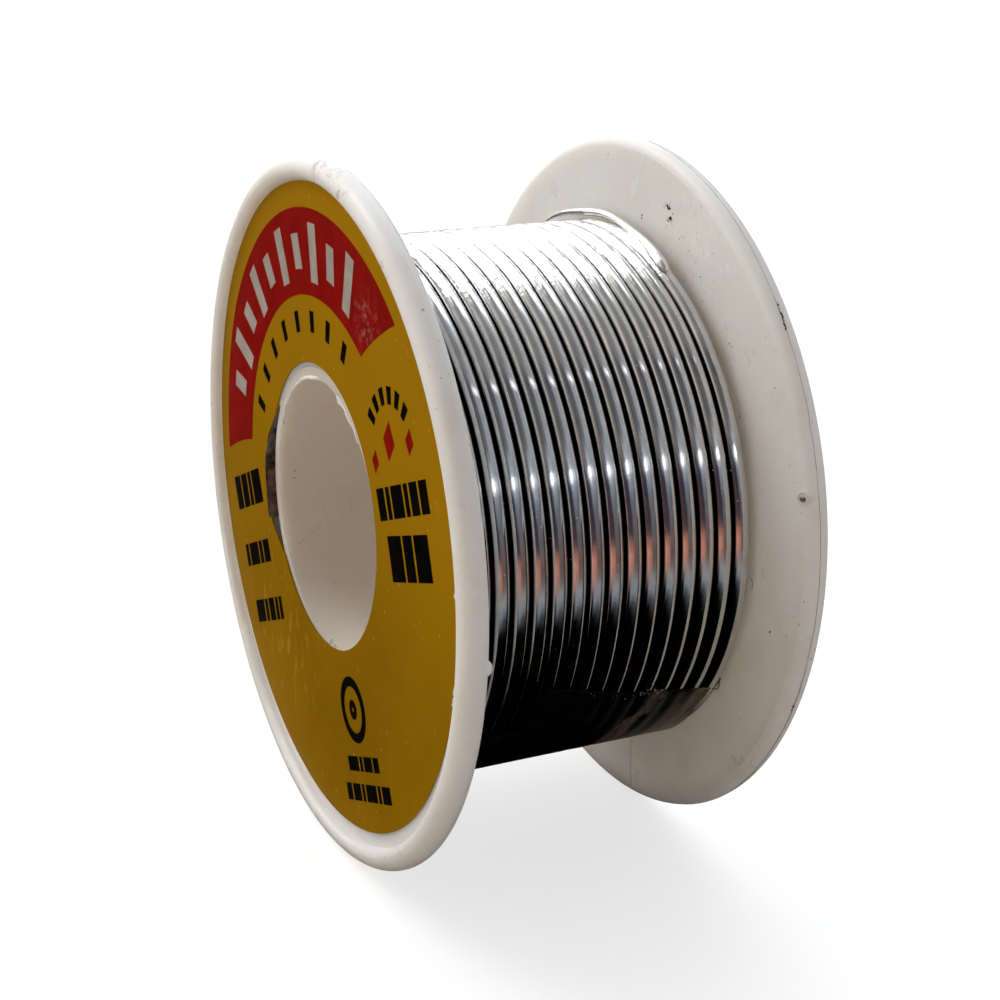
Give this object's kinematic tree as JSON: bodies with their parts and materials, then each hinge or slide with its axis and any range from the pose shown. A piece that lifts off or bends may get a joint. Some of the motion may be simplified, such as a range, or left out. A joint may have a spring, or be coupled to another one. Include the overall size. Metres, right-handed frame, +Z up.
{
  "type": "solder wire spool",
  "caption": "Small two-flanged plastic spool wound with flux-cored solder wire under clear film, with a ring label in the front recess and a round bore for a spindle.",
  "frame": {"origin": "middle of the bore, on its axis, halfway between the two flanges", "axes": "+Y along the bore axis from the labelled front flange to the rear flange, +Z up when the spool stands on its rims, +X to the right as seen from the front"},
  "size_m": [0.057, 0.0294, 0.057],
  "materials": {
    "white_plastic": "glossy",
    "label_stock": "satin",
    "solder": "polished",
    "flux": "glossy",
    "clear_film": "glossy"
  },
  "bodies": {
    "root": {"front_flange": "white_plastic", "rear_flange": "white_plastic", "hub": "white_plastic", "front_label": "label_stock", "solder_inner_layer": "solder", "solder_outer_layer": "solder", "outer_layer_flux": "flux", "solder_start_tail": "solder", "start_tail_flux": "flux", "clear_film": "clear_film"}
  },
  "joints": []
}
